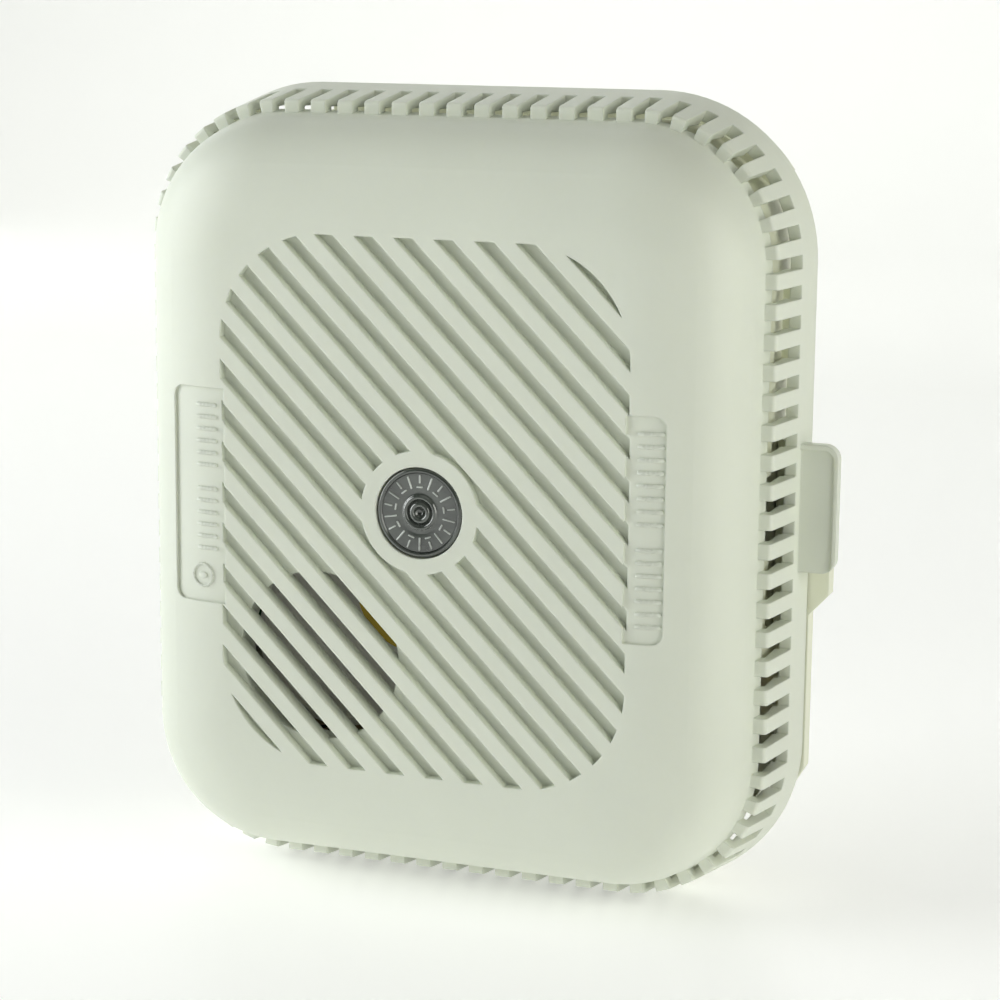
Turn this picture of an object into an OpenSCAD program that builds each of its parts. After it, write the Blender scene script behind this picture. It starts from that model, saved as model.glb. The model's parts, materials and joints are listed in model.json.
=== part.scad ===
// Battery smoke alarm with a hinged vented cover.
// Origin: centre of the mounting plate's wall face. +X right, +Z up, the front faces -Y.
// Every piece is drawn lying on the wall plane, with x right, y up and z the height above
// the wall, and upright() then stands it up.

/* [Overall size] */
// Height of the cover's rear rim
body_h = 120; // [118:0.5:122]
// Width of the cover's rear rim
body_w = 102; // [100:0.5:104]
// Depth from the wall to the front panel
body_d = 40; // [39.5:0.5:41]
// Corner radius of the rear rim, seen from the front
corner_r = 24; // [23.5:0.25:24.5]

/* [Cover shell] */
// Depth of the cover, front panel to rear rim edge
cover_d = 27.1; // [26.8:0.1:27.4]
// Wall thickness of the dome
skin_t = 2.4; // [2:0.1:2.6]
// Radius of the gentle arc next to the front panel
crown_r = 22; // [21:0.5:23]
// Sweep of the gentle arc, degrees
crown_a = 25; // [24:1:26]
// Radius of the shoulder arc
shoulder_r = 11; // [10.5:0.25:11.5]
// Draft of the dome's side, degrees
dome_draft = 10; // [9:1:11]

/* [Vents] */
// Number of ribs in each quarter of the outline
ribs_per_quarter = 23; // [21:1:24]
// Width of one vent gap
vent_gap = 2; // [1.8:0.1:2.2]
// Depth of the ribs' front faces behind the front panel
rib_front_d = 13; // [12.5:0.25:13.5]
// Depth of the vents' rear ends behind the front panel
vent_rear_d = 21.5; // [21:0.25:22]

/* [Grille panel] */
// Width of the grooved panel
panel_w = 63; // [60:0.5:64]
// Height of the grooved panel
panel_h = 79; // [76:0.5:80]
// Corner radius of the grooved panel
panel_r = 16; // [14:0.5:17]
// Spacing of the grooves, square to their length
groove_pitch = 4.35; // [4.25:0.05:4.5]
// Width of each groove
groove_w = 2.08; // [1.9:0.02:2.2]
// Depth of each groove
groove_d = 1.5; // [1.2:0.1:1.6]
// Number of grooves
groove_count = 21; // [19:2:23]

/* [Sounder opening] */
// Radius of the opening behind the grooves
horn_r = 12.7; // [12:0.1:13]
// Depth of the bars across the opening
horn_bar_d = 2.3; // [2:0.1:5]
// Centre of the opening left of the middle
horn_x = -16.4; // [-17:0.1:-16]
// Centre of the opening below the middle
horn_y = -23; // [-23.5:0.1:-22.5]

/* [Test button] */
// Radius of the button's face
button_r = 6.6; // [6.4:0.05:6.65]
// Radius of the flat collar round the button
collar_r = 9.05; // [8.8:0.05:9.3]
// Travel of the button
button_travel = 1.5; // [1:0.1:1.6]

/* [Side tab] */
// Height of the tab
tab_h = 19; // [18:0.5:21]
// Height of the tab's middle above the centre
tab_y = 0.5; // [0:0.25:2]
// Reach of the tab beyond the rim
tab_reach = 5; // [4:0.25:5.5]

/* [Hidden] */
$fn = 48;

// Outline: the corner axes are shared by the cover, its vents and the base wall.
corner_x = body_w / 2 - corner_r;
corner_y = body_h / 2 - corner_r;
rim_z = body_d - cover_d;
rib_front_z = body_d - rib_front_d;
vent_rear_z = body_d - vent_rear_d;

// Dome profile, measured outwards from a corner axis.
crown_start = 4;
shoulder_x = crown_start + (crown_r - shoulder_r) * sin(crown_a);
shoulder_z = body_d - crown_r + (crown_r - shoulder_r) * cos(crown_a);
draft_top_x = shoulder_x + shoulder_r * cos(dome_draft);
draft_top_z = shoulder_z + shoulder_r * sin(dome_draft);
dome_edge_z = body_d - 15.3;

// Vent ring profile.
env_front_x = corner_r - 2;
env_slope = (corner_r - env_front_x) / (rib_front_z - rim_z);
rim_inner = corner_r - 2.6;
rib_inner = corner_r - 3.1;
rib_root = corner_r - 4.2;
rib_shoulder_r = 0.6;
vent_path_r = corner_r - 1.2;
quarter_path = corner_x + corner_y + vent_path_r * PI / 2;
vent_pitch = quarter_path / ribs_per_quarter;

// Base housing and mounting plate.
plate_t = 3;
base_back_z = plate_t + 0.3;
floor_t = 2.2;
floor_z = base_back_z + floor_t;
base_out = corner_r - 4.4;
base_in = base_out - 1.8;
base_front_z = 24.3;
flange_top_z = rim_z - 0.4;
flange_t = 3;
slide_up = 8;

// Circuit board.
board_z = 11;
board_t = 1.6;
board_top = board_z + board_t;

// Smoke chamber.
chamber_x = 2;
chamber_y = 31.5;
chamber_r = 18.5;
chamber_top = 31;

// Battery, a 9 V block lying on its side.
battery_l = 46.4;
battery_w = 26.5;
battery_t = 17.5;
battery_x = -2.6;
battery_y = -31;
battery_z = floor_z + 2.7;

// Cover hinge.
hinge_x = -(body_w / 2 - 2.2);
hinge_z = 9.7;
hinge_pin_r = 1;
knuckle_r = 1.9;
hinge_ys = [-26, 26];
knuckle_l = 8;

// Battery clip hinge.
clip_x = 24;
clip_y = -1.4;
clip_z = 25.4;
clip_w = 9;
clip_l = 11;
clip_pin_r = 0.8;

module upright() {
    rotate([90, 0, 0]) children();
}

// ---- shared shapes ----

// Filled outline with straight sides and round corners, all exact.
module round_rect(half_x, half_y, r) {
    square([2 * (half_x - r), 2 * half_y], center = true);
    square([2 * half_x, 2 * (half_y - r)], center = true);
    for (sx = [-1, 1], sy = [-1, 1]) {
        translate([sx * (half_x - r), sy * (half_y - r)]) circle(r);
    }
}

// Prism whose sides stand r outside the corner axes.
module corner_prism(r, z0, z1) {
    translate([0, 0, z0]) linear_extrude(z1 - z0) round_rect(corner_x + r, corner_y + r, r);
}

// Sweeps a profile, drawn from the corner axis outwards, round the four corners.
module sweep_corners() {
    for (i = [0:3]) {
        sx = (i == 0 || i == 3) ? 1 : -1;
        sy = i < 2 ? 1 : -1;
        translate([sx * corner_x, sy * corner_y, 0]) rotate([0, 0, 90 * i])
            rotate_extrude(angle = 90) children();
    }
}

// Sweeps a profile round the whole outline.
module sweep_outline() {
    sweep_corners() children();
    for (side = [0, 180]) {
        rotate([0, 0, side]) translate([corner_x, corner_y, 0]) rotate([90, 0, 0])
            linear_extrude(2 * corner_y) children();
        rotate([0, 0, side]) translate([-corner_x, corner_y, 0]) rotate([90, 0, 90])
            linear_extrude(2 * corner_x) children();
    }
}

// Both halves of a profile, reach apart from the middle, for a bar right across the shell.
module both_halves(reach) {
    translate([reach, 0]) children();
    mirror([1, 0]) translate([reach, 0]) children();
}

// Places its children at every vent gap: z rotation points outwards from the shell.
module at_vents() {
    n_x = floor(corner_x / vent_pitch - 0.5);
    n_y = floor(corner_y / vent_pitch - 0.5);
    for (side = [0, 180], i = [-n_y - 1:n_y]) {
        rotate([0, 0, side]) translate([corner_x, (i + 0.5) * vent_pitch, 0]) children();
    }
    for (side = [90, 270], i = [-n_x - 1:n_x]) {
        rotate([0, 0, side]) translate([corner_y, (i + 0.5) * vent_pitch, 0]) children();
    }
    for (sx = [-1, 1], sy = [-1, 1], i = [n_y + 1:ribs_per_quarter - 2 - n_x]) {
        turn = ((i + 0.5) * vent_pitch - corner_y) / vent_path_r * 180 / PI;
        mirror([sx < 0 ? 1 : 0, 0, 0]) mirror([0, sy < 0 ? 1 : 0, 0])
            translate([corner_x, corner_y, 0]) rotate([0, 0, turn]) children();
    }
}

// Tube of radius r along a list of points, as one closed polyhedron.
function unit(v) = v / norm(v);
function along(p, i) = unit(p[min(i + 1, len(p) - 1)] - p[max(i - 1, 0)]);
module tube_along(p, r, sides = 8, up = [0, 0.13, 1]) {
    rings = [for (i = [0:len(p) - 1])
        let (t = along(p, i), u = unit(cross(t, up)), v = cross(t, u))
        for (k = [0:sides - 1]) p[i] + r * (cos(360 * k / sides) * u + sin(360 * k / sides) * v)];
    last = (len(p) - 1) * sides;
    faces = concat(
        [[for (k = [0:sides - 1]) k]],
        [[for (k = [sides - 1:-1:0]) last + k]],
        [for (i = [0:len(p) - 2], k = [0:sides - 1])
            [i * sides + k, (i + 1) * sides + k,
             (i + 1) * sides + (k + 1) % sides, i * sides + (k + 1) % sides]]);
    polyhedron(rings, faces, convexity = 10);
}

// Smooth run of points through a hand-picked route (Catmull-Rom).
function spline_point(a, b, c, d, t) =
    0.5 * (2 * b + (c - a) * t + (2 * a - 5 * b + 4 * c - d) * t * t
           + (3 * b - a - 3 * c + d) * t * t * t);
function smooth_route(p, n) = concat(
    [for (i = [0:len(p) - 2], k = [0:n - 1])
        spline_point(p[max(i - 1, 0)], p[i], p[i + 1], p[min(i + 2, len(p) - 1)], k / n)],
    [p[len(p) - 1]]);

// ---- cover ----

// Half profile of the dome, shrunk by inset: two tangent arcs and a drafted side. low_z stays
// below the shoulder's centre.
module dome_profile(inset, low_z) {
    top = body_d - inset;
    side = [draft_top_x - inset * cos(dome_draft), draft_top_z - inset * sin(dome_draft)];
    low_x = side[0] + (side[1] - low_z) * tan(dome_draft);
    shoulder_c = [shoulder_x, shoulder_z];
    far = 3 * shoulder_r;
    join_ray = shoulder_c + far * [sin(crown_a), cos(crown_a)];
    draft_ray = shoulder_c + far * [cos(dome_draft), sin(dome_draft)];
    // Flat stretch
    translate([0, low_z]) square([crown_start, top - low_z]);
    // Under the crown arc
    intersection() {
        translate([crown_start, body_d - crown_r]) circle(crown_r - inset);
        polygon([[crown_start, low_z], [crown_start, join_ray[1]], join_ray, shoulder_c,
                 [shoulder_x, low_z]]);
    }
    // Under the shoulder arc
    intersection() {
        translate(shoulder_c) circle(shoulder_r - inset);
        polygon([shoulder_c, join_ray, shoulder_c + far * [1, 1], draft_ray]);
    }
    // Down the drafted side, lapping the shoulder
    polygon([shoulder_c + [0, 2], side, [low_x, low_z], [shoulder_x, low_z]]);
}

module dome_solid(inset, low_z) {
    high = body_d - inset - low_z;
    sweep_corners() dome_profile(inset, low_z);
    translate([0, corner_y, 0]) rotate([90, 0, 0]) linear_extrude(2 * corner_y) {
        both_halves(corner_x) dome_profile(inset, low_z);
        translate([-corner_x, low_z]) square([2 * corner_x, high]);
    }
    translate([-corner_x, 0, 0]) rotate([90, 0, 90]) linear_extrude(2 * corner_x) {
        both_halves(corner_y) dome_profile(inset, low_z);
        translate([-corner_y, low_z]) square([2 * corner_y, high]);
    }
}

module dome_skin() {
    difference() {
        dome_solid(0, dome_edge_z);
        dome_solid(skin_t, dome_edge_z - 1);
    }
}

// Ring of the rear rim and, in front of it, the band that the vents cut into ribs.
module vent_ring_profile() {
    shoulder = [env_front_x - rib_shoulder_r, rib_front_z - rib_shoulder_r];
    slope_a = atan(env_slope);
    polygon([
        [rib_root, rib_front_z], [shoulder[0], rib_front_z], shoulder,
        shoulder + rib_shoulder_r * [cos(slope_a), sin(slope_a)],
        [corner_r, rim_z], [rim_inner, rim_z], [rim_inner, vent_rear_z + 0.6],
        [rib_inner, vent_rear_z + 0.6], [rib_inner, dome_edge_z], [rib_root, dome_edge_z]
    ]);
    translate(shoulder) circle(rib_shoulder_r);
}

module vent_ring() {
    difference() {
        sweep_outline() vent_ring_profile();
        at_vents() translate([rib_root - 2, -vent_gap / 2, vent_rear_z])
            cube([8, vent_gap, rib_front_d]);
    }
}

// Diagonal stripes, upper left to lower right, clipped to the panel.
module groove_stripes() {
    first = -(groove_count - 1) / 2;
    intersection() {
        round_rect(panel_w / 2, panel_h / 2, panel_r);
        rotate([0, 0, -45]) for (k = [first:-first]) {
            translate([-80, k * groove_pitch - groove_w / 2]) square([160, groove_w]);
        }
    }
}

module panel_grooves() {
    translate([0, 0, body_d - groove_d]) linear_extrude(groove_d + 1) difference() {
        groove_stripes();
        circle(collar_r);
    }
    translate([0, 0, body_d - horn_bar_d - 1]) linear_extrude(horn_bar_d + 2) intersection() {
        groove_stripes();
        translate([horn_x, horn_y]) circle(horn_r);
    }
}

// Two shallow blank label recesses beside the panel. Their floors follow the crown arc.
label_d = 0.45;
label_right = [5.7, 16.3];
label_left = [8.9, 16.2];
module label_recess(side, label) {
    difference() {
        translate([0, 0, shoulder_z]) linear_extrude(20) intersection() {
            translate([side * (panel_w / 2 - 4), 0]) round_rect(label[0] + 3.5, label[1], 1.6);
            translate([side > 0 ? panel_w / 2 - 0.5 : -60 - panel_w / 2 + 0.5, -20]) square([60, 40]);
        }
        translate([side * (corner_x + crown_start), 20, body_d - crown_r]) rotate([90, 0, 0])
            cylinder(r = crown_r - label_d, h = 40);
    }
}

// Side tab: thumb plate with a raised border, joined to the rim.
tab_front_z = body_d - 22.7;
tab_t = 2;
tab_root_x = body_w / 2 - 0.8;
tab_tip_x = body_w / 2 + tab_reach;
module side_tab() {
    tab_mid = [(tab_root_x + tab_tip_x) / 2, tab_y];
    tab_half = [(tab_tip_x - tab_root_x) / 2, tab_h / 2];
    difference() {
        translate([tab_mid[0] - 2, tab_mid[1], tab_front_z - tab_t]) linear_extrude(tab_t)
            intersection() {
                round_rect(tab_half[0] + 2, tab_half[1], 2.2);
                translate([-tab_half[0] + 2, -20]) square([20, 40]);
            }
        translate([tab_mid[0] - 3, tab_mid[1] - 0.5, tab_front_z - 0.4]) linear_extrude(2)
            round_rect(tab_half[0] + 2.4, tab_half[1] - 0.3, 1.6);
    }
}

// Tube that guides the button, with a wider counterbore for its flange.
boss_low_z = 29.2;
boss_step_z = 33.5;
boss_bore_r = button_r + 0.15;
boss_wide_r = 7.9;

module button_boss() {
    translate([0, 0, boss_low_z]) cylinder(r = collar_r, h = body_d - boss_low_z, $fn = 96);
}

module button_bores() {
    translate([0, 0, boss_low_z - 1]) cylinder(r = boss_bore_r, h = 20, $fn = 96);
    translate([0, 0, boss_low_z - 1]) cylinder(r = boss_wide_r, h = boss_step_z - boss_low_z + 1);
}

// Short skirt that guides the sound into the opening, and the pad that its bars are cut from.
horn_skirt_z = 33;
module horn_skirt() {
    translate([horn_x, horn_y, horn_skirt_z]) difference() {
        cylinder(r = horn_r + 1.6, h = body_d - skin_t + 0.2 - horn_skirt_z);
        translate([0, 0, -1]) cylinder(r = horn_r + 0.4, h = body_d - horn_bar_d - horn_skirt_z + 1);
    }
}

// Hinge knuckle: a barrel behind the left rim with a web up to it.
module knuckle(y) {
    translate([hinge_x, y + knuckle_l / 2, hinge_z]) rotate([90, 0, 0])
        cylinder(r = knuckle_r, h = knuckle_l);
    translate([hinge_x - knuckle_r, y - knuckle_l / 2, hinge_z])
        cube([2.5, knuckle_l, rim_z + 1.2 - hinge_z]);
}

module front_cover() {
    color([0.81, 0.83, 0.76]) upright() difference() {
        union() {
            difference() {
                union() {
                    dome_skin();
                    horn_skirt();
                }
                panel_grooves();
                label_recess(1, label_right);
                label_recess(-1, label_left);
            }
            vent_ring();
            button_boss();
            side_tab();
            for (y = hinge_ys) knuckle(y);
        }
        button_bores();
        for (y = hinge_ys) translate([hinge_x, y + knuckle_l, hinge_z]) rotate([90, 0, 0])
            cylinder(r = hinge_pin_r + 0.05, h = 2 * knuckle_l);
    }
}

module hinge_pins() {
    color("silver") upright() for (y = hinge_ys) {
        translate([hinge_x, y + knuckle_l / 2 + 3.2, hinge_z]) rotate([90, 0, 0])
            cylinder(r = hinge_pin_r, h = knuckle_l + 6.4);
    }
}

// ---- test button ----

button_face_z = body_d - 0.15;
button_flange_z = boss_step_z - 0.3;
post_r = 1.5;
switch_top = board_top + 4;
post_tip_z = switch_top + button_travel + 0.2;

module test_button() {
    color([0.35, 0.38, 0.36, 0.6]) upright() union() {
        difference() {
            union() {
                translate([0, 0, button_flange_z - 1.2])
                    cylinder(r = button_r, h = button_face_z - button_flange_z + 1.2, $fn = 96);
                translate([0, 0, button_flange_z - 1.2]) cylinder(r = boss_wide_r - 0.3, h = 1.2);
            }
            translate([0, 0, button_flange_z - 3])
                cylinder(r = button_r - 1, h = button_face_z - 1.6 - button_flange_z + 3);
            // Shallow dish in the middle of the face
            translate([0, 0, button_face_z - 0.35]) cylinder(r = 2.6, h = 1);
        }
        translate([0, 0, post_tip_z]) cylinder(r = post_r, h = button_face_z - 0.5 - post_tip_z);
        translate([0, 0, button_face_z - 4]) cylinder(r = post_r + 0.6, h = 3.2);
    }
}

// Guide ring snapped into the bottom of the boss; the spring stands on it.
retainer_z = boss_low_z + 0.1;
retainer_t = 0.9;
module button_retainer() {
    color([0.78, 0.8, 0.72]) upright() translate([0, 0, retainer_z]) difference() {
        cylinder(r = boss_wide_r, h = retainer_t);
        translate([0, 0, -1]) cylinder(r = post_r + 1.2, h = 4);
    }
}

spring_turns = 6;
spring_low_z = retainer_z + retainer_t + 0.35;
spring_high_z = button_face_z - 1.6 - 0.35;
module button_spring() {
    steps = 14;
    color("silver") upright() tube_along(
        [for (i = [0:spring_turns * steps])
            let (a = 360 * i / steps, f = i / (spring_turns * steps))
            [3.4 * cos(a), 3.4 * sin(a), spring_low_z + (spring_high_z - spring_low_z) * f]],
        0.25, 6);
}

// ---- base ----

module base_floor_cuts() {
    // Entry windows and slots for the plate's hooks
    for (x = hook_xs, y = hook_ys) translate([x, y, 0]) {
        translate([-2.4, -hook_l / 2 - slide_up - 0.6, 0]) cube([4.8, hook_l + slide_up + 0.9, 20]);
        translate([-4.6, -hook_l / 2 - slide_up - 0.6, 0]) cube([9.2, hook_l + 1.2, 20]);
    }
    // Cable entry behind the board
    translate([4, 12, 0]) cylinder(r = 6, h = 20);
}

module screw_posts() {
    for (p = screw_points) translate([p[0], p[1], floor_z - 0.2])
        cylinder(r = 3, h = board_z - floor_z + 0.2);
}

module battery_pocket() {
    wall = 1.6;
    gap = 0.4;
    snap_room = 8.5;
    translate([battery_x - snap_room, battery_y - gap - wall, floor_z - 0.2]) difference() {
        cube([battery_l + snap_room, battery_w + 2 * gap + 2 * wall, 9]);
        translate([wall, wall, -1]) cube([battery_l + 12, battery_w + 2 * gap, 20]);
        translate([-1, wall + battery_w / 2 - 6, 5]) cube([4, 12, 20]);
    }
    // Ribs under the battery
    for (x = [4, 20, 36]) translate([x, battery_y, floor_z - 0.2])
        cube([1.6, battery_w, battery_z - floor_z + 0.1]);
}

// Ears that carry the hinge pins, either side of each knuckle.
module hinge_ears() {
    for (y = hinge_ys, s = [-1, 1]) {
        translate([hinge_x, y + s * (knuckle_l / 2 + 1.8) + 1.3, hinge_z]) rotate([90, 0, 0])
            cylinder(r = 2.2, h = 2.6);
        translate([hinge_x, y + s * (knuckle_l / 2 + 1.8) - 1.3, hinge_z - 2.2])
            cube([-hinge_x - corner_x - base_out + 0.8, 2.6, 4.4]);
    }
}

// Flange and catch lug behind the rim on the right-hand side.
lug_tip_x = body_w / 2 + 3.1;
module side_flange() {
    translate([0, 0, flange_top_z - flange_t]) linear_extrude(flange_t) polygon([
        [corner_x + base_out - 0.8, -43], [body_w / 2 - 1.6, -43], [body_w / 2 + 0.2, -40],
        [body_w / 2 + 0.2, -16.4], [lug_tip_x, -13.2], [lug_tip_x, 7.5], [body_w / 2 + 0.2, 7.5],
        [corner_x + base_out - 0.8, 10]
    ]);
}

// Windows in the base's wall that let smoke through to the chamber. Most keep a bar in front.
// The corners and most of the right side have shallow pockets instead, which keep the wall stiff.
window_low_z = 14.5;
window_high_z = base_front_z - 1.5;
window_bar_z = base_front_z - 5.1;
pocket_d = 1.2;
module wall_windows() {
    side = corner_x + base_out - 6;
    for (y = [21.5, -34.5]) translate([-side - 10, y, window_low_z])
        cube([10, 13, window_bar_z - window_low_z]);
    translate([side, -4.5, window_low_z + 2]) cube([10, 10, 20]);
    for (y = [-12.6, -17]) translate([side, y, window_low_z + 2.5]) cube([10, 2.6, 3.4]);
    translate([side, -44, window_low_z]) cube([10, 21, 20]);
    for (sy = [-1, 1], x = [-18, 0, 18]) translate([x - 6, sy * (corner_y + base_out) - 5, window_low_z])
        cube([12, 10, window_high_z - window_low_z]);
}

module wall_pockets() {
    for (end = [[21.5, 13], [-19, 32]]) translate([corner_x + base_out - pocket_d, end[0], window_low_z - 4])
        cube([5, end[1], window_bar_z - window_low_z + 4]);
    for (sx = [-1, 1], sy = [-1, 1]) translate([sx * corner_x, sy * corner_y, window_low_z - 4])
        rotate([0, 0, atan2(sy, sx) + sx * sy * 5]) translate([base_out - pocket_d, -6, 0])
            cube([6, 12, window_high_z - window_low_z + 4]);
}

screw_points = [[-38, 44], [-38, -30], [37, 40]];
hook_xs = [-30, 30];
hook_ys = [34, -39.5];
hook_l = 6;

module base_housing() {
    color([0.82, 0.84, 0.7]) upright() difference() {
        union() {
            difference() {
                corner_prism(base_out, base_back_z, base_front_z);
                corner_prism(base_in, floor_z, base_front_z + 1);
                wall_windows();
                wall_pockets();
                base_floor_cuts();
            }
            screw_posts();
            battery_pocket();
            hinge_ears();
            side_flange();
            clip_posts();
        }
        for (y = hinge_ys) translate([hinge_x, y + knuckle_l, hinge_z]) rotate([90, 0, 0])
            cylinder(r = hinge_pin_r, h = 2 * knuckle_l);
        for (p = screw_points) translate([p[0], p[1], floor_z + 0.6]) cylinder(r = 1.1, h = 10);
        translate([clip_x - clip_w, clip_y, clip_z]) rotate([0, 90, 0])
            cylinder(r = clip_pin_r, h = 2 * clip_w);
    }
}

// Wall screw slots of the plate; slot_l runs between the centres of their round ends.
slot_r = 2.25;
slot_l = 10 - 2 * slot_r;
module mounting_plate() {
    color([0.83, 0.85, 0.78]) upright() difference() {
        union() {
            linear_extrude(plate_t) round_rect(43, 52, 20);
            for (x = hook_xs, y = hook_ys) translate([x, y, 0]) {
                translate([-2, -hook_l / 2, plate_t - 0.2]) cube([4, hook_l, floor_t + 1.2]);
                translate([-4.1, -hook_l / 2, plate_t + floor_t + 0.7]) cube([8.2, hook_l, 1.4]);
            }
        }
        // Middle opening for cables
        translate([0, 0, -1]) linear_extrude(plate_t + 2) round_rect(14, 22, 6);
        // Slotted screw holes, one each side of the opening
        for (x = [-30, 30]) translate([x, 0, -1]) linear_extrude(plate_t + 2) {
            for (s = [-1, 1]) translate([s * slot_l / 2, 0]) circle(slot_r);
            square([slot_l, 2 * slot_r], center = true);
        }
    }
}

// ---- circuit board and its parts ----

module board_outline() {
    intersection() {
        round_rect(43.2, 51, 17);
        difference() {
            translate([-60, -60]) square([120, 120]);
            translate([-11.5, -60]) square([80, 64]);
        }
    }
}

module circuit_board() {
    color([0.2, 0.36, 0.22]) upright() difference() {
        translate([0, 0, board_z]) linear_extrude(board_t) union() {
            board_outline();
            translate([-8, -2]) square([16, 7]);
        }
        for (p = screw_points) translate([p[0], p[1], board_z - 1]) cylinder(r = 1.6, h = 4);
    }
}

module board_screws() {
    color("silver") upright() for (p = screw_points) translate([p[0], p[1], 0]) difference() {
        union() {
            translate([0, 0, floor_z + 1]) cylinder(r = 1.1, h = board_top - floor_z - 0.8);
            translate([0, 0, board_top]) cylinder(r = 2.7, h = 1.3);
        }
        for (a = [0, 90]) rotate([0, 0, a]) translate([-1.6, -0.3, board_top + 0.6]) cube([3.2, 0.6, 2]);
    }
}

module chamber_base() {
    color([0.12, 0.12, 0.13]) upright() translate([chamber_x, chamber_y, board_top]) difference() {
        union() {
            cylinder(r = chamber_r, h = 2.4);
            for (a = [0:30:330]) rotate([0, 0, a]) translate([11, -0.5, 2]) rotate([0, 0, 35])
                cube([4.6, 1, 7]);
        }
        translate([0, 0, 1.2]) cylinder(r = 7, h = 3);
    }
}

// Cap of the chamber: a drum whose wall is cut into tall windows.
module chamber_cap() {
    z0 = board_top + 2.4;
    windows = 16;
    color([0.14, 0.14, 0.15]) upright() translate([chamber_x, chamber_y, 0]) difference() {
        translate([0, 0, z0]) cylinder(r = chamber_r, h = chamber_top - z0);
        translate([0, 0, z0 - 1]) cylinder(r = chamber_r - 1.2, h = chamber_top - z0 - 0.6);
        for (i = [0:windows - 1]) rotate([0, 0, 360 * i / windows])
            translate([chamber_r - 4, -2.2, z0 + 2]) cube([8, 4.4, chamber_top - z0 - 5.5]);
    }
}

module insect_screen() {
    z0 = board_top + 2.6;
    color([0.55, 0.56, 0.55]) upright() translate([chamber_x, chamber_y, z0]) difference() {
        cylinder(r = chamber_r - 1.3, h = 13);
        translate([0, 0, -1]) cylinder(r = chamber_r - 1.6, h = 16);
    }
}

module infrared_emitter() {
    color([0.25, 0.25, 0.4]) upright() translate([chamber_x - 7.6, chamber_y - 4.6, board_top + 2.4]) {
        cylinder(r = 1.5, h = 2.6);
        translate([0, 0, 2.6]) sphere(1.5);
    }
}

module photo_sensor() {
    color([0.1, 0.1, 0.1]) upright() translate([chamber_x + 5.2, chamber_y + 7.4, board_top + 2.4]) {
        translate([-2, -1.2, 0]) cube([4, 2.4, 3.6]);
        translate([0, -1.1, 1.9]) sphere(1.1);
    }
}

module alarm_chip() {
    color([0.1, 0.1, 0.11]) upright() translate([-34, 12, board_top]) {
        translate([0, 0, 0.5]) cube([7, 19, 3.2]);
        for (s = [0, 1], i = [0:7]) translate([s * 7.9 - 0.9, 0.6 + 2.4 * i, 0])
            cube([0.95, 0.7, 2.2]);
    }
}

module electrolytic_capacitor() {
    color([0.1, 0.12, 0.2]) upright() translate([-36, -14, board_top]) {
        cylinder(r = 3.15, h = 11);
        cylinder(r = 3.4, h = 0.8);
    }
}

module ceramic_capacitors() {
    color([0.75, 0.5, 0.2]) upright() for (p = [[-20, 10], [-20, 22], [-26, -6], [30, 12]])
        translate([p[0], p[1], board_top]) {
            translate([0, 0.9, 3.4]) rotate([90, 0, 0]) cylinder(r = 2.3, h = 1.8);
            for (s = [-1, 1]) translate([s * 1.2, 0, 0]) cylinder(r = 0.3, h = 2.2);
        }
}

module resistors() {
    color([0.8, 0.7, 0.5]) upright() for (i = [0:5])
        translate([-38 + 3.6 * i, -41, board_top + 1.3]) {
            rotate([90, 0, 0]) translate([0, 0, -3.2]) cylinder(r = 1.1, h = 6.4);
            for (s = [-1, 1]) translate([0, s * 4.2, -1.3]) cylinder(r = 0.3, h = 1.6);
            rotate([90, 0, 0]) translate([0, 0, -4.5]) cylinder(r = 0.3, h = 9);
        }
}

module status_led() {
    color([0.75, 0.1, 0.08]) upright() translate([-5.4, 1.2, board_top]) {
        cylinder(r = 1.5, h = 4);
        translate([0, 0, 4]) sphere(1.5);
        cylinder(r = 1.8, h = 0.9);
    }
}

module test_switch() {
    color([0.2, 0.2, 0.2]) upright() translate([0, 0, board_top]) {
        translate([-2.3, -2, 0]) cube([4.6, 4.6, 3.2]);
        cylinder(r = 1.6, h = switch_top - board_top);
    }
}

// ---- sounder ----

disc_x = -5.5;
disc_y = -14.5;
disc_r = 9.5;
horn_low_z = 26.2;
horn_seat_z = 27.4;

module horn_outline(grow) {
    translate([horn_x - 1, horn_y]) circle(13.4 + grow);
    translate([disc_x, disc_y]) circle(disc_r + 1.4 + grow);
}

module horn_housing() {
    color([0.45, 0.46, 0.43]) upright() difference() {
        union() {
            translate([0, 0, horn_low_z]) linear_extrude(1.2) horn_outline(0);
            translate([0, 0, horn_low_z]) linear_extrude(2.6) difference() {
                horn_outline(0);
                horn_outline(-0.9);
            }
            // Resonator cup behind the plate, standing on the board
            translate([horn_x - 6, horn_y, board_top]) difference() {
                cylinder(r = 8, h = horn_low_z - board_top + 0.4);
                translate([0, 0, -1]) cylinder(r = 6.8, h = horn_low_z - board_top);
            }
        }
        translate([disc_x, disc_y, horn_low_z - 1]) cylinder(r = disc_r - 1.6, h = 4);
    }
}

module piezo_disc() {
    color([0.72, 0.58, 0.22]) upright() translate([disc_x, disc_y, horn_seat_z])
        cylinder(r = disc_r, h = 0.3);
}

module piezo_ceramic() {
    color([0.85, 0.84, 0.8]) upright() translate([disc_x, disc_y, horn_seat_z - 0.25])
        cylinder(r = 6, h = 0.25);
}

module horn_contacts() {
    color("silver") upright() for (x = [-14.6, -12.8]) {
        translate([x - 0.4, -11, board_top]) cube([0.8, 0.3, horn_low_z - board_top]);
        translate([x - 0.4, -11, horn_low_z - 0.3]) cube([0.8, 1.2, 0.3]);
    }
}

// ---- battery ----

module battery_case() {
    color([0.62, 0.45, 0.16]) upright()
        translate([battery_x, battery_y, battery_z]) cube([battery_l, battery_w, battery_t]);
}

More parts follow.
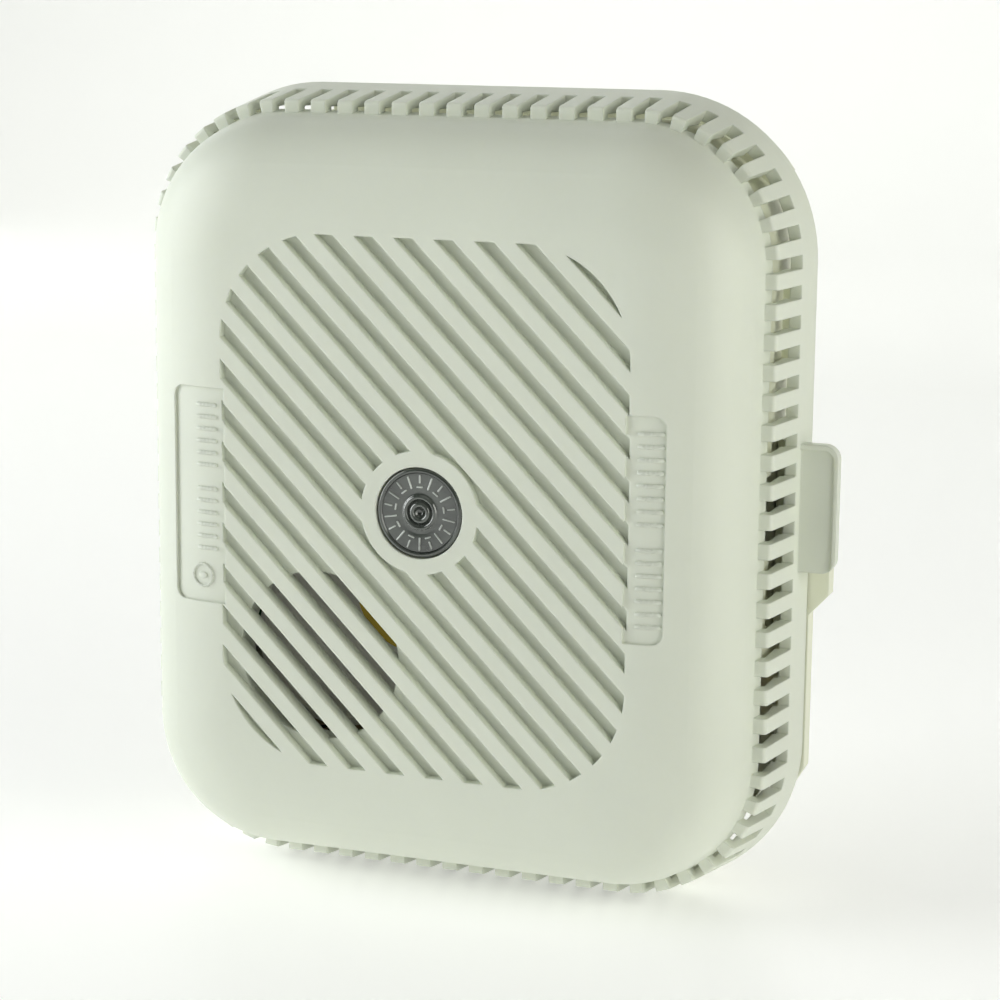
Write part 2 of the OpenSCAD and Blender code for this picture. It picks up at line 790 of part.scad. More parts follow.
terminal_z = battery_z + battery_t / 2;
terminal_ys = [battery_y + battery_w / 2 - 6.35, battery_y + battery_w / 2 + 6.35];
module battery_terminals() {
    color("silver") upright() for (i = [0, 1])
        translate([battery_x, terminal_ys[i], terminal_z]) rotate([0, -90, 0])
            cylinder(r = i == 0 ? 2.9 : 3.9, h = 2);
}

module battery_snap() {
    color([0.08, 0.08, 0.08]) upright() difference() {
        translate([battery_x - 5, battery_y + 0.6, battery_z + 2]) cube([4.6, battery_w - 1.2, battery_t - 4]);
        for (i = [0, 1]) translate([battery_x, terminal_ys[i], terminal_z]) rotate([0, -90, 0])
            cylinder(r = i == 0 ? 3 : 4, h = 2.1);
    }
}

// Leads from the snap's end face, over the pocket wall, down to the board.
lead_r = 0.65;
snap_end = battery_x - 5;
red_route = [[snap_end + 0.6, -7.5, 19.4], [-10, -7.6, 19.6], [-13.6, -6.4, 17.8], [-16.4, -4, 14.4],
             [-16.8, -3.4, board_top - 0.8]];
black_route = [[snap_end + 0.6, -7.5, 16.4], [-9.2, -7, 16.6], [-11.6, -5, 15.6], [-12.9, -2, 13.6],
               [-13, -1.4, board_top - 0.8]];
module battery_lead_red() {
    color([0.75, 0.08, 0.06]) upright() tube_along(smooth_route(red_route, 5), lead_r);
}

module battery_lead_black() {
    color([0.06, 0.06, 0.06]) upright() tube_along(smooth_route(black_route, 5), lead_r);
}

// ---- battery clip ----

module clip_posts() {
    for (x = [clip_x - clip_w / 2 - 2.4, clip_x + clip_w / 2 + 0.6])
        translate([x, clip_y - 2, floor_z - 0.2]) cube([1.8, 4, clip_z + 2 - floor_z + 0.2]);
}

// Hinged strap that lies over the battery and keeps it in its pocket.
module battery_clip() {
    color([0.7, 0.12, 0.08]) upright() difference() {
        union() {
            translate([clip_x - clip_w / 2, clip_y, clip_z]) rotate([0, 90, 0])
                cylinder(r = 1.8, h = clip_w);
            translate([clip_x - clip_w / 2, clip_y - clip_l, clip_z + 0.6])
                cube([clip_w, clip_l, 1.2]);
        }
        translate([clip_x - clip_w, clip_y, clip_z]) rotate([0, 90, 0])
            cylinder(r = clip_pin_r + 0.05, h = 2 * clip_w);
    }
}

module clip_pin() {
    color("silver") upright() translate([clip_x - clip_w / 2 - 2.4, clip_y, clip_z])
        rotate([0, 90, 0]) cylinder(r = clip_pin_r, h = clip_w + 4.8);
}

front_cover();
test_button();
button_spring();
button_retainer();
hinge_pins();
base_housing();
mounting_plate();
circuit_board();
board_screws();
chamber_base();
chamber_cap();
insect_screen();
infrared_emitter();
photo_sensor();
alarm_chip();
electrolytic_capacitor();
ceramic_capacitors();
resistors();
status_led();
test_switch();
horn_housing();
piezo_disc();
piezo_ceramic();
horn_contacts();
battery_case();
battery_terminals();
battery_snap();
battery_lead_red();
battery_lead_black();
battery_clip();
clip_pin();
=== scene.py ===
"""Looks for the smoke detector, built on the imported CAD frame."""

import json
import math

import bmesh
import bpy
from mathutils import Matrix, Vector


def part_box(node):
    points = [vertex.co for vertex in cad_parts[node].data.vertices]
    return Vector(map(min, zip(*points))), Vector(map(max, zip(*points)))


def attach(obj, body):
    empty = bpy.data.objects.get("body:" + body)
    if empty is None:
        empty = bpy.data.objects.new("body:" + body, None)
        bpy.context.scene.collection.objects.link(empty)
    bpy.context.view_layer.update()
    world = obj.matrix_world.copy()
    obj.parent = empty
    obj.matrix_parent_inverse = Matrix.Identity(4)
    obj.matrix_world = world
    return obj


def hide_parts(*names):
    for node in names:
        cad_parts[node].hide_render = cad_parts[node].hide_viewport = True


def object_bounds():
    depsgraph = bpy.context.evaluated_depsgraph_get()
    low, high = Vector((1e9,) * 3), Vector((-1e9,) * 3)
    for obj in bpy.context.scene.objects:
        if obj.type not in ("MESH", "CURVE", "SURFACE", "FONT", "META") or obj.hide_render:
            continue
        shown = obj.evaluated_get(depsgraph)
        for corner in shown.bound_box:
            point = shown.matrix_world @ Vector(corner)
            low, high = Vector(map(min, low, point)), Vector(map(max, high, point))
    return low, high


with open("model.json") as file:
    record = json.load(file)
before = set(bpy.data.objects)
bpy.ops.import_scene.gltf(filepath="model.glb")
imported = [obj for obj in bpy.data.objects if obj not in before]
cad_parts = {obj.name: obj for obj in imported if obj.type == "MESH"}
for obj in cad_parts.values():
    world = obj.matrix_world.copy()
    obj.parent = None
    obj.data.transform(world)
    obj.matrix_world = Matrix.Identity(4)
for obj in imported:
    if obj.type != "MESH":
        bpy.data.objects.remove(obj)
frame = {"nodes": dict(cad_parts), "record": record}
nodes = frame["nodes"]
cad_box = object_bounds()
low, high = Vector(cad_box[0]), Vector(cad_box[1])

scene = bpy.context.scene


# ---- camera ----

CAMERA_AT = (0.14233, -0.39122, 0.07599)
CAMERA_ANGLES = (20.29, 11.04, 0.55)  # degrees to the right of straight in front, downwards, and rolled
LENS_MM = 96.59


def add_camera():
    """Camera at the photograph's viewing angle."""
    yaw, pitch, roll = (math.radians(a) for a in CAMERA_ANGLES)
    ahead = Vector((-math.sin(yaw) * math.cos(pitch), math.cos(yaw) * math.cos(pitch), -math.sin(pitch)))
    right = Vector((math.cos(yaw), math.sin(yaw), 0))
    up = right.cross(ahead)
    side = math.cos(roll) * right + math.sin(roll) * up
    top = math.cos(roll) * up - math.sin(roll) * right
    data = bpy.data.cameras.new("camera")
    data.lens = LENS_MM
    data.sensor_width = 36
    data.clip_end = 50
    cam = bpy.data.objects.new("camera", data)
    scene.collection.objects.link(cam)
    rot = Matrix((side, top, -ahead)).transposed().to_4x4()
    cam.matrix_world = Matrix.Translation(CAMERA_AT) @ rot
    scene.camera = cam


add_camera()


# ---- node helpers ----

class Mat:
    """A material with a Principled shader, and short calls that add nodes to it."""

    def __init__(self, name, **values):
        self.mat = bpy.data.materials.new(name)
        self.mat.use_nodes = True
        self.tree = self.mat.node_tree
        self.shader = self.tree.nodes["Principled BSDF"]
        self.set(**values)
        self.coord = self.add("ShaderNodeTexCoord").outputs["Object"]

    def set(self, **values):
        for key, value in values.items():
            socket = self.shader.inputs[key.replace("_", " ")]
            socket.default_value = (*value, 1) if isinstance(value, tuple) and len(value) == 3 and \
                socket.type == "RGBA" else value

    def add(self, kind, **values):
        node = self.tree.nodes.new(kind)
        for key, value in values.items():
            if key in node.inputs:
                node.inputs[key].default_value = value
            else:
                setattr(node, key, value)
        return node

    def link(self, a, b):
        self.tree.links.new(a, b)

    def noise(self, scale, detail=3.0, rough=0.5, coord=None, stretch=None):
        node = self.add("ShaderNodeTexNoise")
        node.inputs["Scale"].default_value = scale
        node.inputs["Detail"].default_value = detail
        node.inputs["Roughness"].default_value = rough
        coord = coord or self.coord
        if stretch:
            mapping = self.add("ShaderNodeMapping")
            mapping.inputs["Scale"].default_value = stretch
            self.link(coord, mapping.inputs["Vector"])
            coord = mapping.outputs["Vector"]
        self.link(coord, node.inputs["Vector"])
        return node.outputs["Fac"]

    def ramp(self, fac, stops):
        node = self.add("ShaderNodeValToRGB")
        while len(node.color_ramp.elements) < len(stops):
            node.color_ramp.elements.new(0.5)
        for element, (at, color) in zip(node.color_ramp.elements, stops):
            element.position = at
            element.color = (*color, 1) if isinstance(color, tuple) else (color, color, color, 1)
        self.link(fac, node.inputs["Fac"])
        return node.outputs["Color"]

    def mix(self, fac, a, b, blend="MIX"):
        node = self.add("ShaderNodeMix", data_type="RGBA", blend_type=blend)
        for value, index in ((fac, 0), (a, 6), (b, 7)):
            if isinstance(value, (int, float)):
                node.inputs[index].default_value = value
            elif isinstance(value, tuple):
                node.inputs[index].default_value = (*value, 1)
            else:
                self.link(value, node.inputs[index])
        return node.outputs[2]

    def math(self, op, a, b=0.0, c=0.0):
        node = self.add("ShaderNodeMath", operation=op)
        for index, value in enumerate((a, b, c)):
            if isinstance(value, (int, float)):
                node.inputs[index].default_value = value
            else:
                self.link(value, node.inputs[index])
        return node.outputs[0]

    def along(self, node, axis):
        """0 to 1 from one end of a CAD node's box to the other, along x (0) or z (2)."""
        split = self.add("ShaderNodeSeparateXYZ")
        self.link(self.coord, split.inputs[0])
        low_end, high_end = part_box(node)
        share = self.add("ShaderNodeMapRange")
        share.inputs["From Min"].default_value = low_end[axis]
        share.inputs["From Max"].default_value = high_end[axis]
        self.link(split.outputs[axis], share.inputs["Value"])
        return share.outputs["Result"]

    def color(self, socket):
        self.link(socket, self.shader.inputs["Base Color"])

    def rough(self, fac, a, b):
        node = self.add("ShaderNodeMapRange")
        node.inputs["To Min"].default_value = a
        node.inputs["To Max"].default_value = b
        self.link(fac, node.inputs["Value"])
        self.link(node.outputs["Result"], self.shader.inputs["Roughness"])

    def bump(self, height, distance, strength=1.0, edge=None):
        node = self.add("ShaderNodeBump")
        node.inputs["Strength"].default_value = strength
        node.inputs["Distance"].default_value = distance
        self.link(height, node.inputs["Height"])
        if edge:
            bevel = self.add("ShaderNodeBevel", samples=6)
            bevel.inputs["Radius"].default_value = edge
            self.link(bevel.outputs["Normal"], node.inputs["Normal"])
        self.link(node.outputs["Normal"], self.shader.inputs["Normal"])


def plastic(name, color, rough=0.42, grain=900.0, depth=0.00002, edge=0.0003, spread=0.03, soft=0.0):
    """Moulded plastic: fine spark-eroded grain, cloudy colour, small rounded edges."""
    m = Mat(name, Roughness=rough)
    fine = m.noise(grain, 3.0, 0.6)
    cloud = m.noise(38.0, 4.0, 0.55)
    dark = tuple(c * (1 - spread) for c in color)
    light = tuple(min(1.0, c * (1 + spread * 0.6)) for c in color)
    base = m.ramp(cloud, [(0.3, dark), (0.7, light)])
    m.color(m.mix(m.math("MULTIPLY", fine, 0.12), base, tuple(c * 0.86 for c in color)))
    m.rough(fine, rough - 0.06, rough + 0.08)
    m.bump(fine, depth, 0.5, edge)
    if soft:
        m.set(Subsurface_Weight=soft, Subsurface_Scale=0.0015)
        m.shader.inputs["Subsurface Radius"].default_value = (1.0, 0.95, 0.7)
    return m.mat


def metal(name, color, rough=0.3, stretch=(1, 1, 1), edge=0.00008):
    """Brushed or drawn metal with streaks and patches of wear."""
    m = Mat(name, Metallic=1.0, Roughness=rough)
    streak = m.noise(700.0, 4.0, 0.6, stretch=stretch)
    cloud = m.noise(60.0, 3.0, 0.5)
    m.color(m.mix(m.math("MULTIPLY", cloud, 0.35), tuple(color), tuple(c * 0.72 for c in color)))
    m.rough(streak, rough - 0.1, rough + 0.16)
    m.bump(streak, 0.000008, 0.4, edge)
    return m.mat


def smoked(name, color, rough):
    """Tinted clear plastic: dark, glossy, with faint flow marks."""
    m = Mat(name, Roughness=rough, IOR=1.75, Coat_Weight=1.0, Coat_Roughness=0.03)
    flow = m.noise(160.0, 3.0, 0.5, stretch=(1, 1, 2.5))
    m.color(m.ramp(flow, [(0.3, tuple(c * 0.6 for c in color)), (0.7, tuple(c * 1.4 for c in color))]))
    m.rough(m.noise(900.0), rough - 0.03, rough + 0.06)
    m.bump(flow, 0.00001, 0.4)
    return m.mat


def battery_sleeve(name):
    """Printed foil sleeve with no lettering: a gold band over the lower part of a silver-grey one."""
    m = Mat(name, Metallic=0.35, Roughness=0.32)
    wear = m.noise(240.0, 5.0, 0.6)
    grey, gold, dark = (0.42, 0.41, 0.37), (0.50, 0.37, 0.10), (0.05, 0.05, 0.055)
    band = m.ramp(m.along("battery_case", 0), [(0.0, grey), (0.30, dark), (0.32, gold), (0.97, gold)])
    band.node.color_ramp.interpolation = "CONSTANT"
    m.color(m.mix(m.math("MULTIPLY", wear, 0.3), band, (0.62, 0.60, 0.55)))
    m.rough(wear, 0.24, 0.42)
    m.bump(wear, 0.00001, 0.4, 0.0003)
    return m.mat


def banded(name):
    """Resistor bodies: tan lacquer with colour bands, and bright wire beyond the body's ends."""
    m = Mat(name, Roughness=0.35)
    wire, tan = (0.6, 0.6, 0.58), (0.55, 0.40, 0.22)
    stops = [(0.0, wire), (0.145, tan), (0.28, (0.25, 0.03, 0.02)), (0.34, tan), (0.44, (0.02, 0.02, 0.02)),
             (0.50, tan), (0.60, (0.6, 0.2, 0.02)), (0.66, tan), (0.76, (0.55, 0.4, 0.1)), (0.80, tan),
             (0.855, wire)]
    band = m.ramp(m.along("resistors", 2), stops)
    band.node.color_ramp.interpolation = "CONSTANT"
    fine = m.noise(1200.0)
    m.color(m.mix(m.math("MULTIPLY", fine, 0.2), band, (0.3, 0.22, 0.12)))
    m.rough(fine, 0.25, 0.45)
    m.bump(fine, 0.00001, 0.4)
    return m.mat


def board(name):
    """Green solder resist with paler tracks running across and up, and a few bright pads."""
    m = Mat(name, Roughness=0.3)
    split = m.add("ShaderNodeSeparateXYZ")
    m.link(m.coord, split.inputs[0])
    flat = m.add("ShaderNodeCombineXYZ")
    m.link(split.outputs["X"], flat.inputs["X"])
    m.link(split.outputs["Z"], flat.inputs["Y"])
    tracks = m.add("ShaderNodeTexBrick", offset=0.37, squash=0.6, squash_frequency=3)
    m.link(flat.outputs["Vector"], tracks.inputs["Vector"])
    for key, value in (("Scale", 1.0), ("Mortar Size", 0.00028), ("Mortar Smooth", 0.1),
                       ("Brick Width", 0.0086), ("Row Height", 0.0031)):
        tracks.inputs[key].default_value = value
    keep = m.math("GREATER_THAN", m.noise(75.0, 1.0), 0.46)
    pads = m.add("ShaderNodeTexVoronoi", voronoi_dimensions="2D", Scale=150.0, Randomness=0.55)
    m.link(flat.outputs["Vector"], pads.inputs["Vector"])
    pad = m.math("MULTIPLY", m.math("LESS_THAN", pads.outputs["Distance"], 0.12),
                 m.math("GREATER_THAN", m.noise(60.0, 1.0), 0.53))
    resist = m.mix(m.math("MULTIPLY", tracks.outputs["Fac"], keep), (0.03, 0.125, 0.05), (0.09, 0.26, 0.11))
    m.color(m.mix(pad, resist, (0.55, 0.55, 0.5)))
    fine = m.noise(1200.0)
    m.rough(fine, 0.22, 0.36)
    m.bump(m.math("MAXIMUM", tracks.outputs["Fac"], m.math("MULTIPLY", fine, 0.2)), 0.00003, 0.6, 0.0001)
    return m.mat


def woven(name):
    """Fine steel gauze: crossed wires in colour and height, the colour painted darker at the low places
    between the wires as shade.
    """
    m = Mat(name, Metallic=1.0, Roughness=0.4)
    mesh_pitch = 0.0006
    height = None
    for bands in ("X", "Y"):
        wave = m.add("ShaderNodeTexWave", bands_direction=bands)
        wave.inputs["Scale"].default_value = 0.314 / mesh_pitch
        m.link(m.coord, wave.inputs["Vector"])
        height = wave.outputs["Fac"] if height is None else m.math("MAXIMUM", height, wave.outputs["Fac"])
    # Painted shade: the colour follows the weave's height, dark in the low gaps between the wires.
    m.color(m.ramp(height, [(0.35, (0.08, 0.08, 0.075)), (0.7, (0.55, 0.55, 0.52))]))
    m.rough(m.noise(500.0), 0.3, 0.5)
    m.bump(height, 0.00015, 0.8)
    return m.mat


COVER = (0.757, 0.790, 0.690)
BASE = (0.850, 0.868, 0.700)

materials = {
    "cover_plastic": plastic("cover_plastic", COVER, 0.46, soft=0.15),
    "base_plastic": plastic("base_plastic", BASE, 0.4, soft=0.1),
    "horn_grey": plastic("horn_grey", (0.80, 0.79, 0.73), 0.5),
    "board_laminate": board("board_laminate"),
    "chamber_black": plastic("chamber_black", (0.055, 0.053, 0.048), 0.5),
    "component_black": plastic("component_black", (0.015, 0.015, 0.016), 0.5),
    "ceramic_orange": plastic("ceramic_orange", (0.55, 0.24, 0.04), 0.4, spread=0.15),
    "resistor_tan": banded("resistor_tan"),
    "piezo_white": plastic("piezo_white", (0.6, 0.58, 0.52), 0.5, spread=0.1),
    "snap_black": plastic("snap_black", (0.02, 0.02, 0.02), 0.5),
    "wire_red": plastic("wire_red", (0.45, 0.02, 0.012), 0.35),
    "wire_black": plastic("wire_black", (0.015, 0.015, 0.015), 0.35),
    "clip_red": plastic("clip_red", (0.50, 0.03, 0.015), 0.4),
    "battery_wrap": battery_sleeve("battery_wrap"),
    "capacitor_sleeve": plastic("capacitor_sleeve", (0.02, 0.03, 0.09), 0.3),
    "epoxy_blue": plastic("epoxy_blue", (0.05, 0.06, 0.2), 0.15),
    "led_red": plastic("led_red", (0.5, 0.02, 0.015), 0.15),
    "button_smoked": smoked("button_smoked", (0.055, 0.064, 0.055), 0.07),
    "spring_steel": metal("spring_steel", (0.62, 0.62, 0.6), 0.25),
    "pin_steel": metal("pin_steel", (0.6, 0.6, 0.58), 0.25),
    "screw_steel": metal("screw_steel", (0.62, 0.6, 0.55), 0.3),
    "screen_steel": woven("screen_steel"),
    "contact_steel": metal("contact_steel", (0.66, 0.65, 0.6), 0.25),
    "disc_brass": metal("disc_brass", (0.55, 0.40, 0.06), 0.3, (1, 8, 1)),
}

for entry in frame["record"]["subparts"]:
    node = nodes[entry["node"]]
    node.data.materials.clear()
    node.data.materials.append(materials[entry["material_slot"]])


def smooth(obj, angle=32):
    """Smooth shading across gentle edges only."""
    for poly in obj.data.polygons:
        poly.use_smooth = True
    obj.data.set_sharp_from_angle(angle=math.radians(angle))


for node in nodes.values():
    smooth(node)


# ---- pieces made here ----

MM = 0.001


def at_wall(x, y, z):
    """A point given in mm as right, up and height above the wall."""
    return Vector((x * MM, -z * MM, y * MM))


def add_piece(name, bm, slot, body, material=None, stands_for=(), angle=32):
    """Turns a bmesh into a piece that rides on a body."""
    bmesh.ops.recalc_face_normals(bm, faces=bm.faces)
    mesh = bpy.data.meshes.new(name)
    bm.to_mesh(mesh)
    bm.free()
    piece = bpy.data.objects.new(name, mesh)
    scene.collection.objects.link(piece)
    mesh.materials.append(material or materials[slot])
    smooth(piece, angle)
    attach(piece, body)
    if stands_for:
        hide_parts(*stands_for)
    return piece


def lathe(bm, center, profile, steps=96):
    """Spins a closed profile of (radius, height above the wall) in mm round an axis out of the wall."""
    rings = []
    for r, z in profile:
        if r < 1e-6:
            rings.append([bm.verts.new(at_wall(*center, z))])
            continue
        rings.append([bm.verts.new(at_wall(center[0] + r * math.cos(a), center[1] + r * math.sin(a), z))
                      for a in (2 * math.pi * i / steps for i in range(steps))])
    for a, b in zip(rings, rings[1:]):
        for i in range(steps):
            j = (i + 1) % steps
            corners = [a[i % len(a)], a[j % len(a)], b[j % len(b)], b[i % len(b)]]
            bm.faces.new(list(dict.fromkeys(corners)))


def arc_points(center, r, start, end, steps):
    """Points of a profile's round corner, angles in degrees."""
    return [(center[0] + r * math.cos(a), center[1] + r * math.sin(a))
            for a in (math.radians(start + (end - start) * i / steps) for i in range(steps + 1))]


BAR_PROFILE = ((-0.6, 1.0), (0.45, 1.0), (0.85, 0.72), (1.0, 0.3))  # share of the rise, share of the width


def rounded_bar(bm, a, b, width, up, rise, steps=6):
    """Low raised stroke from a to b with round ends and a domed top. up is the way it stands."""
    along = (b - a).normalized()
    across = up.cross(along)
    rings = []
    for level, shrink in BAR_PROFILE:
        ring = []
        for end, sign in ((b, 1), (a, -1)):
            for i in range(steps + 1):
                t = math.pi * (i / steps - 0.5)
                turned = math.cos(t) * along + math.sin(t) * across
                ring.append(bm.verts.new(end + sign * shrink * width / 2 * turned + up * rise * level))
        rings.append(ring)
    count = len(rings[0])
    for low_ring, high_ring in zip(rings, rings[1:]):
        for i in range(count):
            j = (i + 1) % count
            bm.faces.new((low_ring[i], low_ring[j], high_ring[j], high_ring[i]))
    bm.faces.new(rings[-1])
    bm.faces.new(list(reversed(rings[0])))


# Test button: the numbers follow the CAD button, whose face is just behind the panel.
BUTTON_LOW, BUTTON_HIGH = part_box("test_button")
FACE_Z = -BUTTON_LOW[1] / MM
POST_TIP_Z = -BUTTON_HIGH[1] / MM
BUTTON_R = 6.6
FLANGE_R = (BUTTON_HIGH[0] - BUTTON_LOW[0]) / 2 / MM
FLANGE_Z = 33.2
MARKS = 18


def add_button():
    """Smoked button with a rolled rim, a fine inner line and a ringed bump in the middle."""
    rim, line_r, floor_z = 0.46, 5.9, FACE_Z - 0.3
    face = [(0, FACE_Z - 0.85), (0.3, FACE_Z - 0.8), (0.75, FACE_Z - 0.45)]
    face += arc_points((1.2, FACE_Z - 0.42), 0.4, 165, 15, 8)
    face += [(1.8, FACE_Z - 0.52)] + arc_points((2.25, FACE_Z - 0.42), 0.34, 165, 15, 7)
    face += [(2.75, floor_z - 0.12), (3.2, floor_z - 0.03), (line_r - 0.12, floor_z)]
    face += [(line_r, floor_z - 0.1), (line_r + 0.12, floor_z)]
    face += arc_points((BUTTON_R - rim, FACE_Z - rim), rim, 115, 0, 8)
    body = [(BUTTON_R, FLANGE_Z), (FLANGE_R - 0.15, FLANGE_Z), (FLANGE_R, FLANGE_Z - 0.15),
            (FLANGE_R, FLANGE_Z - 1.05), (FLANGE_R - 0.15, FLANGE_Z - 1.2), (5.6, FLANGE_Z - 1.2),
            (5.6, FACE_Z - 1.6), (2.1, FACE_Z - 1.6), (2.1, FACE_Z - 4), (1.5, FACE_Z - 4),
            (1.5, POST_TIP_Z + 0.2), (1.3, POST_TIP_Z), (0, POST_TIP_Z)]
    bm = bmesh.new()
    lathe(bm, (0, 0), face + body)
    add_piece("button_body", bm, "button_smoked", "button", stands_for=("test_button",), angle=40)

    # Plain ring of raised ticks, long and short in turn, with a short arc just inside every short one
    bm = bmesh.new()
    out = Vector((0, -1, 0))
    for i in range(MARKS):
        turn = 2 * math.pi * (i + 0.5) / MARKS

        def spot(r, step=0.0):
            return at_wall(r * math.cos(turn + step), r * math.sin(turn + step), floor_z)

        inner = 3.75 if i % 2 else 4.45
        rounded_bar(bm, spot(inner), spot(5.45), 0.26 * MM, out, 0.18 * MM)
        if i % 2 == 0:
            rounded_bar(bm, spot(3.8, -0.1), spot(3.8, 0.1), 0.26 * MM, out, 0.18 * MM)
    # The marks are a paler grey than the smoked button: a painted highlight that stands in for the glints
    # on the raised strokes.
    painted_glint_marks = smoked("button_marks", (0.42, 0.45, 0.42), 0.12)
    add_piece("button_marks", bm, "button_smoked", "button", painted_glint_marks, angle=50)


add_button()


# Raised marks in the cover's two side recesses: plain bars where a maker would put wording.
CROWN_R, CROWN_X, PANEL_Z, RECESS = 22.0, 31.0, 40.0, 0.45
MARK_WIDTH = 0.62


def recess_point(side, across, up):
    """Point on a recess floor, across mm beyond the panel's middle line, and the way out of it."""
    over = max(0.0, across - CROWN_X)
    r = CROWN_R - RECESS
    z = PANEL_Z - CROWN_R + math.sqrt(r * r - over * over)
    out = Vector((side * over, -math.sqrt(r * r - over * over), 0)).normalized()
    return at_wall(side * across, up, z), out


def recess_bar(bm, side, start, end, width, steps=5):
    """Raised stroke between two (across, up) points that bends with the recess floor."""
    for k in range(steps):
        ends = [tuple(a + (b - a) * t / steps for a, b in zip(start, end)) for t in (k, k + 1)]
        near, out = recess_point(side, *ends[0])
        far, _ = recess_point(side, *ends[1])
        rounded_bar(bm, near, far, width * MM, out, 0.3 * MM, 4)


def recess_marks(side, inner, outer, first, last, pitch, gap_at):
    """Row of plain bars from inner to outer (mm across), a pitch apart from first to last (mm up)."""
    bm = bmesh.new()
    count = int((last - first) / pitch) + 1
    for i in range(count):
        if i != gap_at:
            up = first + i * pitch
            recess_bar(bm, side, (inner, up), (outer, up), MARK_WIDTH)
    return bm


add_piece("marks_right", recess_marks(1, 32.9, 36.2, -13.8, 13.8, 1.84, 7),
          "cover_plastic", "cover", angle=50)

left_marks = recess_marks(-1, 32.6, 35.6, -8.0, 13.8, 1.8, 6)
RING_AT, RING_R, RING_STEPS = (35.0, -12.2), 1.7, 16
for i in range(RING_STEPS):
    ring_ends = [(RING_AT[0] + RING_R * math.cos(a), RING_AT[1] + RING_R * math.sin(a))
                 for a in (2 * math.pi * (i + k) / RING_STEPS for k in (0, 1))]
    recess_bar(left_marks, -1, *ring_ends, 0.4, 1)
recess_bar(left_marks, -1, (RING_AT[0] - 0.3, RING_AT[1]), (RING_AT[0] + 0.3, RING_AT[1]), 0.9, 1)
add_piece("marks_left", left_marks, "cover_plastic", "cover", angle=50)


# Lip behind the cover's rim along the top, which closes the gap above the base's wall. All in mm.
CORNER_X, CORNER_Y = 27.0, 36.0
LIP_IN, LIP_OUT, LIP_LOW, LIP_HIGH = 18.8, 22.8, 7.6, 8.8


def add_rear_lip():
    """Flat strip along the top of the base and round most of its upper right corner."""
    bm = bmesh.new()
    path = [(-CORNER_X, 90)] + [(CORNER_X, 90 - 4 * i) for i in range(15)]
    section = ((LIP_IN, LIP_LOW), (LIP_OUT, LIP_LOW), (LIP_OUT, LIP_HIGH), (LIP_IN, LIP_HIGH))
    rows = []
    for x, turn in path:
        c, s = math.cos(math.radians(turn)), math.sin(math.radians(turn))
        rows.append([bm.verts.new(at_wall(x + r * c, CORNER_Y + r * s, z)) for r, z in section])
    for a, b in zip(rows, rows[1:]):
        for k in range(4):
            bm.faces.new((a[k], a[(k + 1) % 4], b[(k + 1) % 4], b[k]))
    bm.faces.new(rows[0])
    bm.faces.new(list(reversed(rows[-1])))
    add_piece("rear_lip", bm, "base_plastic", "base")


add_rear_lip()


# ---- floor, backdrop and lights ----

# The floor glows faintly, more in front than at the back, so that it stays as pale as the backdrop
NEAR_GLOW, FAR_GLOW = 0.28, 0.045


FLOOR_FRONT, FLOOR_BACK, FLOOR_SIDE, BEND_R, BACKDROP_TOP = -1.6, 0.9, 2.6, 0.5, 2.6


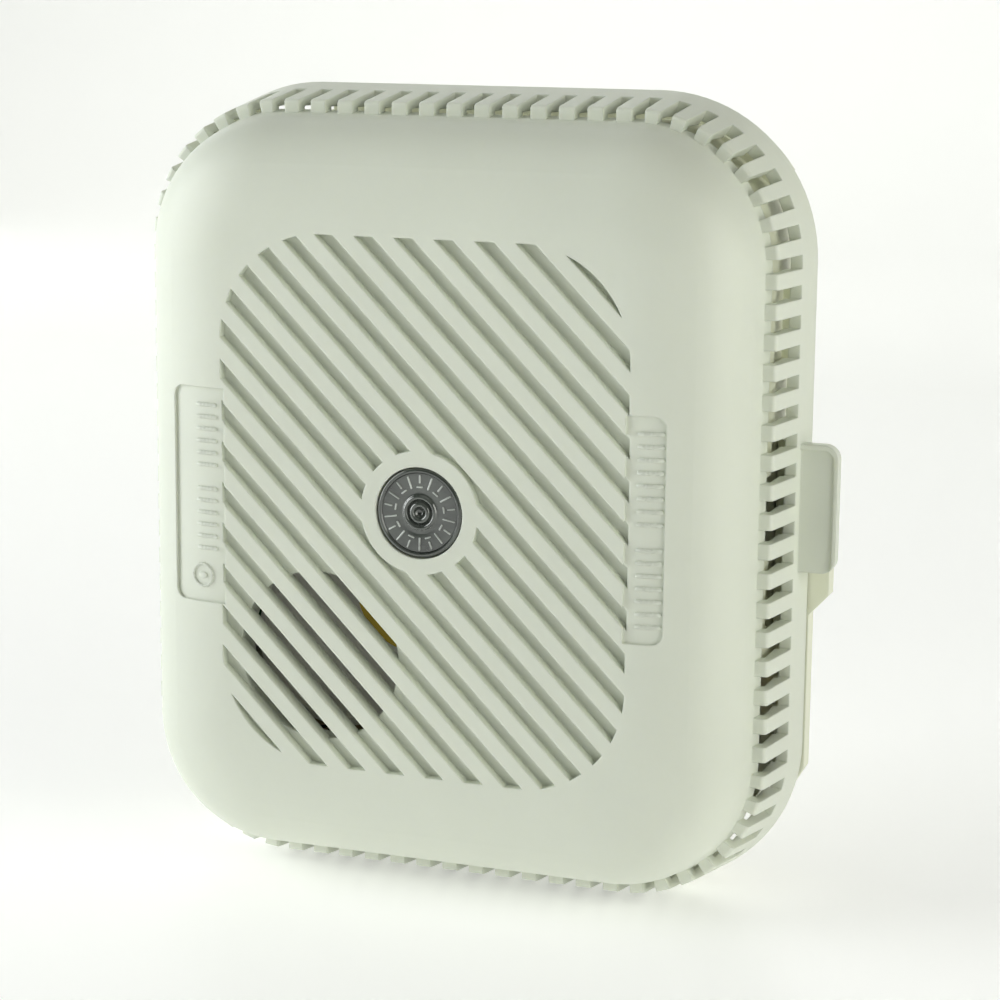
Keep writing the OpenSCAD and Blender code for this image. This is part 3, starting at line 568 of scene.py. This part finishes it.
def add_stage():
    """Pale floor that curves up into a backdrop."""
    mesh = bpy.data.meshes.new("floor")
    bm = bmesh.new()
    ground = low.z
    line = [(FLOOR_FRONT, 0.0), (FLOOR_BACK, 0.0)]
    for i in range(1, 17):
        a = math.radians(90 * i / 16)
        line.append((FLOOR_BACK + BEND_R * math.sin(a), BEND_R - BEND_R * math.cos(a)))
    line.append((FLOOR_BACK + BEND_R, BACKDROP_TOP))
    rows = [[bm.verts.new((x, y, ground + z)) for y, z in line] for x in (-FLOOR_SIDE, FLOOR_SIDE)]
    for i in range(len(line) - 1):
        bm.faces.new((rows[0][i], rows[1][i], rows[1][i + 1], rows[0][i + 1]))
    bm.to_mesh(mesh)
    bm.free()
    floor = bpy.data.objects.new("floor", mesh)
    scene.collection.objects.link(floor)
    for poly in mesh.polygons:
        poly.use_smooth = True
    m = Mat("floor", Roughness=0.32)
    m.set(Specular_IOR_Level=0.25)
    cloud = m.noise(1.2, 2.0)
    m.color(m.ramp(cloud, [(0.3, (0.93, 0.93, 0.92)), (0.7, (0.95, 0.95, 0.94))]))
    split = m.add("ShaderNodeSeparateXYZ")
    m.link(m.coord, split.inputs[0])
    depth = m.add("ShaderNodeMapRange")
    depth.inputs["From Min"].default_value = 0.0
    depth.inputs["From Max"].default_value = 0.5
    m.link(split.outputs["Y"], depth.inputs["Value"])
    glow = m.ramp(depth.outputs["Result"], [(0.0, NEAR_GLOW), (1.0, FAR_GLOW)])
    m.link(glow, m.shader.inputs["Emission Color"])
    m.set(Emission_Strength=1.0)
    mesh.materials.append(m.mat)


add_stage()

COOL, WARM, NEUTRAL = (0.965, 1.0, 0.99), (0.99, 1.0, 0.92), (0.985, 1.0, 0.955)


def area_light(name, at, target, size, power, color):
    """Soft rectangular light at one point, aimed at another."""
    data = bpy.data.lights.new(name, "AREA")
    data.shape = "RECTANGLE"
    data.size, data.size_y = size
    data.energy = power
    data.color = color
    light = bpy.data.objects.new(name, data)
    scene.collection.objects.link(light)
    aim = (Vector(target) - Vector(at)).to_track_quat("-Z", "Y").to_matrix().to_4x4()
    light.matrix_world = Matrix.Translation(at) @ aim


def studio_light(name, azimuth, elevation, power, color, size=0.8, away=1.0):
    """Soft panel aimed at the object. Azimuth 0 is straight in front, negative to the left."""
    az, el = math.radians(azimuth), math.radians(elevation)
    at = Vector((math.sin(az) * math.cos(el), -math.cos(az) * math.cos(el), math.sin(el))) * away
    area_light(name, at, (0, 0, 0), (size, size), power, color)


studio_light("key_left", -70, 12, 10.6, COOL)
studio_light("rim_left", -118, 12, 1.3, COOL)
studio_light("fill_right", 71, 12, 6.2, WARM)
studio_light("high_right", 40, 52, 0.45, WARM)
studio_light("overhead", 0, 85, 1.1, WARM)
area_light("backdrop_light", (-0.5, 0.45, 0.9), (-0.5, 1.4, 0.5), (1.6, 0.5), 11, NEUTRAL)

world = bpy.data.worlds.new("world")
scene.world = world
world.use_nodes = True
background = world.node_tree.nodes["Background"]
background.inputs["Color"].default_value = (1.0, 1.0, 0.98, 1)
background.inputs["Strength"].default_value = 0.02

scene.view_settings.view_transform = "Standard"
scene.view_settings.look = "None"
